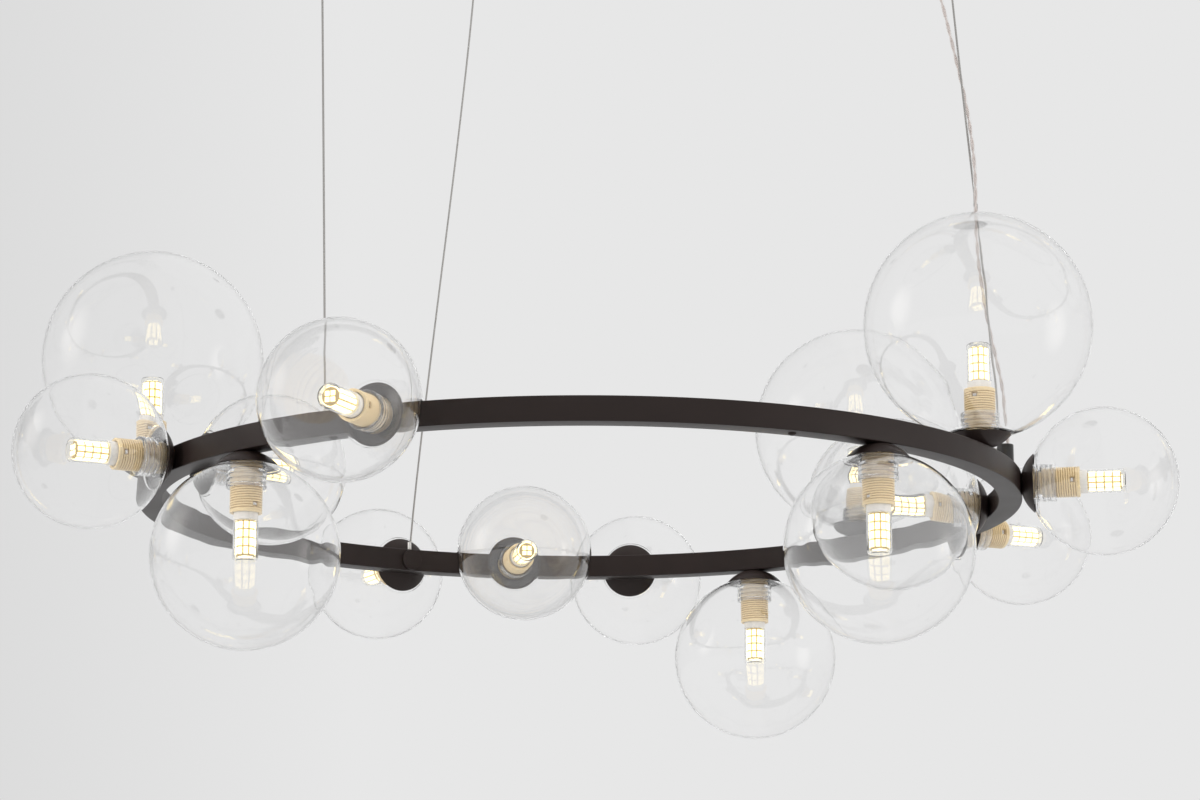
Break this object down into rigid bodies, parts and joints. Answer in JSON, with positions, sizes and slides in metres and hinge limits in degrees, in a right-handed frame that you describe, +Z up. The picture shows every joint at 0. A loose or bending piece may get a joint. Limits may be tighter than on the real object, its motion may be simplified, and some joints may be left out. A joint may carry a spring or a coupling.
{
  "type": "orb chandelier",
  "caption": "Square-tube ring chandelier hung on steel wires, with clear glass globes of mixed sizes facing up, down, in and out.",
  "frame": {"origin": "on the ceiling, in the middle of the circle of the three ceiling fittings", "axes": "+Z up to the ceiling, -Y towards the side that the picture was taken from"},
  "size_m": [0.7656, 0.7767, 0.6206],
  "materials": {
    "black_coat": "satin powder coat",
    "clear_glass": "clear blown glass",
    "bulb_cover": "clear cover over warm-white diodes",
    "cream_holder": "satin cream",
    "zinc_steel": "zinc plated",
    "nickel_plate": "polished nickel",
    "wire_rope": "bright stranded wire",
    "black_plastic": "satin",
    "clear_sheath": "clear sheath over tinned cores"
  },
  "bodies": {
    "hung_frame": {"anchor_plugs": "black_coat", "canopy": "black_coat", "ceiling_bases": "zinc_steel", "ceiling_caps": "black_coat", "cord_gland": "black_plastic", "cord_relief": "black_plastic", "dishes_down": "black_coat", "dishes_in": "black_coat", "dishes_out": "black_coat", "dishes_up": "black_coat", "gland_screw": "nickel_plate", "lamp_nipples": "zinc_steel", "lamp_nuts": "zinc_steel", "lampholders_down": "cream_holder", "lampholders_in": "cream_holder", "lampholders_out": "cream_holder", "lampholders_up": "cream_holder", "power_cord": "clear_sheath", "ring_screws": "black_coat", "ring_tube": "black_coat", "ring_wiring": "clear_sheath", "screw_plates": "zinc_steel", "terminal_block": "black_plastic", "wire_back": "wire_rope", "wire_left": "wire_rope", "wire_right": "wire_rope", "wire_sleeves": "nickel_plate"},
    "globe_01": {"globe_01_in": "clear_glass"},
    "bulb_01": {"bulb_01": "bulb_cover"},
    "globe_02": {"globe_02_out": "clear_glass"},
    "bulb_02": {"bulb_02": "bulb_cover"},
    "globe_03": {"globe_03_up": "clear_glass"},
    "bulb_03": {"bulb_03": "bulb_cover"},
    "globe_04": {"globe_04_down": "clear_glass"},
    "bulb_04": {"bulb_04": "bulb_cover"},
    "globe_05": {"globe_05_out": "clear_glass"},
    "bulb_05": {"bulb_05": "bulb_cover"},
    "globe_06": {"globe_06_in": "clear_glass"},
    "bulb_06": {"bulb_06": "bulb_cover"},
    "globe_07": {"globe_07_out": "clear_glass"},
    "bulb_07": {"bulb_07": "bulb_cover"},
    "globe_08": {"globe_08_up": "clear_glass"},
    "bulb_08": {"bulb_08": "bulb_cover"},
    "globe_09": {"globe_09_in": "clear_glass"},
    "bulb_09": {"bulb_09": "bulb_cover"},
    "globe_10": {"globe_10_out": "clear_glass"},
    "bulb_10": {"bulb_10": "bulb_cover"},
    "globe_11": {"globe_11_down": "clear_glass"},
    "bulb_11": {"bulb_11": "bulb_cover"},
    "globe_12": {"globe_12_out": "clear_glass"},
    "bulb_12": {"bulb_12": "bulb_cover"},
    "globe_13": {"globe_13_down": "clear_glass"},
    "bulb_13": {"bulb_13": "bulb_cover"},
    "globe_14": {"globe_14_up": "clear_glass"},
    "bulb_14": {"bulb_14": "bulb_cover"},
    "globe_15": {"globe_15_out": "clear_glass"},
    "bulb_15": {"bulb_15": "bulb_cover"},
    "plunger_left": {"plunger_left": "nickel_plate"},
    "plunger_back": {"plunger_back": "nickel_plate"},
    "plunger_right": {"plunger_right": "nickel_plate"}
  },
  "joints": [
    {"name": "globe_01_off", "type": "slide", "parent": "hung_frame", "child": "globe_01", "axis": [-0.9914, -0.1305, 0], "range_m": [0, 0.062]},
    {"name": "bulb_01_out", "type": "slide", "parent": "hung_frame", "child": "bulb_01", "axis": [-0.9914, -0.1305, 0], "range_m": [0, 0.017]},
    {"name": "globe_02_off", "type": "slide", "parent": "hung_frame", "child": "globe_02", "axis": [0.8988, 0.4384, 0], "range_m": [0, 0.062]},
    {"name": "bulb_02_out", "type": "slide", "parent": "hung_frame", "child": "bulb_02", "axis": [0.8988, 0.4384, 0], "range_m": [0, 0.017]},
    {"name": "globe_03_off", "type": "slide", "parent": "hung_frame", "child": "globe_03", "axis": [0, 0, 1], "range_m": [0, 0.062]},
    {"name": "bulb_03_out", "type": "slide", "parent": "hung_frame", "child": "bulb_03", "axis": [0, 0, 1], "range_m": [0, 0.017]},
    {"name": "globe_04_off", "type": "slide", "parent": "hung_frame", "child": "globe_04", "axis": [0, 0, -1], "range_m": [0, 0.062]},
    {"name": "bulb_04_out", "type": "slide", "parent": "hung_frame", "child": "bulb_04", "axis": [0, 0, -1], "range_m": [0, 0.017]},
    {"name": "globe_05_off", "type": "slide", "parent": "hung_frame", "child": "globe_05", "axis": [0.1219, 0.9925, 0], "range_m": [0, 0.062]},
    {"name": "bulb_05_out", "type": "slide", "parent": "hung_frame", "child": "bulb_05", "axis": [0.1219, 0.9925, 0], "range_m": [0, 0.017]},
    {"name": "globe_06_off", "type": "slide", "parent": "hung_frame", "child": "globe_06", "axis": [0.1822, -0.9833, 0], "range_m": [0, 0.062]},
    {"name": "bulb_06_out", "type": "slide", "parent": "hung_frame", "child": "bulb_06", "axis": [0.1822, -0.9833, 0], "range_m": [0, 0.017]},
    {"name": "globe_07_off", "type": "slide", "parent": "hung_frame", "child": "globe_07", "axis": [-0.4384, 0.8988, 0], "range_m": [0, 0.062]},
    {"name": "bulb_07_out", "type": "slide", "parent": "hung_frame", "child": "bulb_07", "axis": [-0.4384, 0.8988, 0], "range_m": [0, 0.017]},
    {"name": "globe_08_off", "type": "slide", "parent": "hung_frame", "child": "globe_08", "axis": [0, 0, 1], "range_m": [0, 0.062]},
    {"name": "bulb_08_out", "type": "slide", "parent": "hung_frame", "child": "bulb_08", "axis": [0, 0, 1], "range_m": [0, 0.017]},
    {"name": "globe_09_off", "type": "slide", "parent": "hung_frame", "child": "globe_09", "axis": [0.887, 0.4617, 0], "range_m": [0, 0.062]},
    {"name": "bulb_09_out", "type": "slide", "parent": "hung_frame", "child": "bulb_09", "axis": [0.887, 0.4617, 0], "range_m": [0, 0.017]},
    {"name": "globe_10_off", "type": "slide", "parent": "hung_frame", "child": "globe_10", "axis": [-0.8829, -0.4695, 0], "range_m": [0, 0.062]},
    {"name": "bulb_10_out", "type": "slide", "parent": "hung_frame", "child": "bulb_10", "axis": [-0.8829, -0.4695, 0], "range_m": [0, 0.017]},
    {"name": "globe_11_off", "type": "slide", "parent": "hung_frame", "child": "globe_11", "axis": [0, 0, -1], "range_m": [0, 0.062]},
    {"name": "bulb_11_out", "type": "slide", "parent": "hung_frame", "child": "bulb_11", "axis": [0, 0, -1], "range_m": [0, 0.017]},
    {"name": "globe_12_off", "type": "slide", "parent": "hung_frame", "child": "globe_12", "axis": [-0.4067, -0.9135, 0], "range_m": [0, 0.062]},
    {"name": "bulb_12_out", "type": "slide", "parent": "hung_frame", "child": "bulb_12", "axis": [-0.4067, -0.9135, 0], "range_m": [0, 0.017]},
    {"name": "globe_13_off", "type": "slide", "parent": "hung_frame", "child": "globe_13", "axis": [0, 0, -1], "range_m": [0, 0.062]},
    {"name": "bulb_13_out", "type": "slide", "parent": "hung_frame", "child": "bulb_13", "axis": [0, 0, -1], "range_m": [0, 0.017]},
    {"name": "globe_14_off", "type": "slide", "parent": "hung_frame", "child": "globe_14", "axis": [0, 0, 1], "range_m": [0, 0.062]},
    {"name": "bulb_14_out", "type": "slide", "parent": "hung_frame", "child": "bulb_14", "axis": [0, 0, 1], "range_m": [0, 0.017]},
    {"name": "globe_15_off", "type": "slide", "parent": "hung_frame", "child": "globe_15", "axis": [0.9863, -0.165, 0], "range_m": [0, 0.062]},
    {"name": "bulb_15_out", "type": "slide", "parent": "hung_frame", "child": "bulb_15", "axis": [0.9863, -0.165, 0], "range_m": [0, 0.017]},
    {"name": "plunger_left_press", "type": "slide", "parent": "hung_frame", "child": "plunger_left", "axis": [0, 0, 1], "range_m": [0, 0.003], "stiffness_N_per_m": 500, "springref_m": -0.001},
    {"name": "plunger_back_press", "type": "slide", "parent": "hung_frame", "child": "plunger_back", "axis": [0, 0, 1], "range_m": [0, 0.003], "stiffness_N_per_m": 500, "springref_m": -0.001},
    {"name": "plunger_right_press", "type": "slide", "parent": "hung_frame", "child": "plunger_right", "axis": [0, 0, 1], "range_m": [0, 0.003], "stiffness_N_per_m": 500, "springref_m": -0.001}
  ]
}
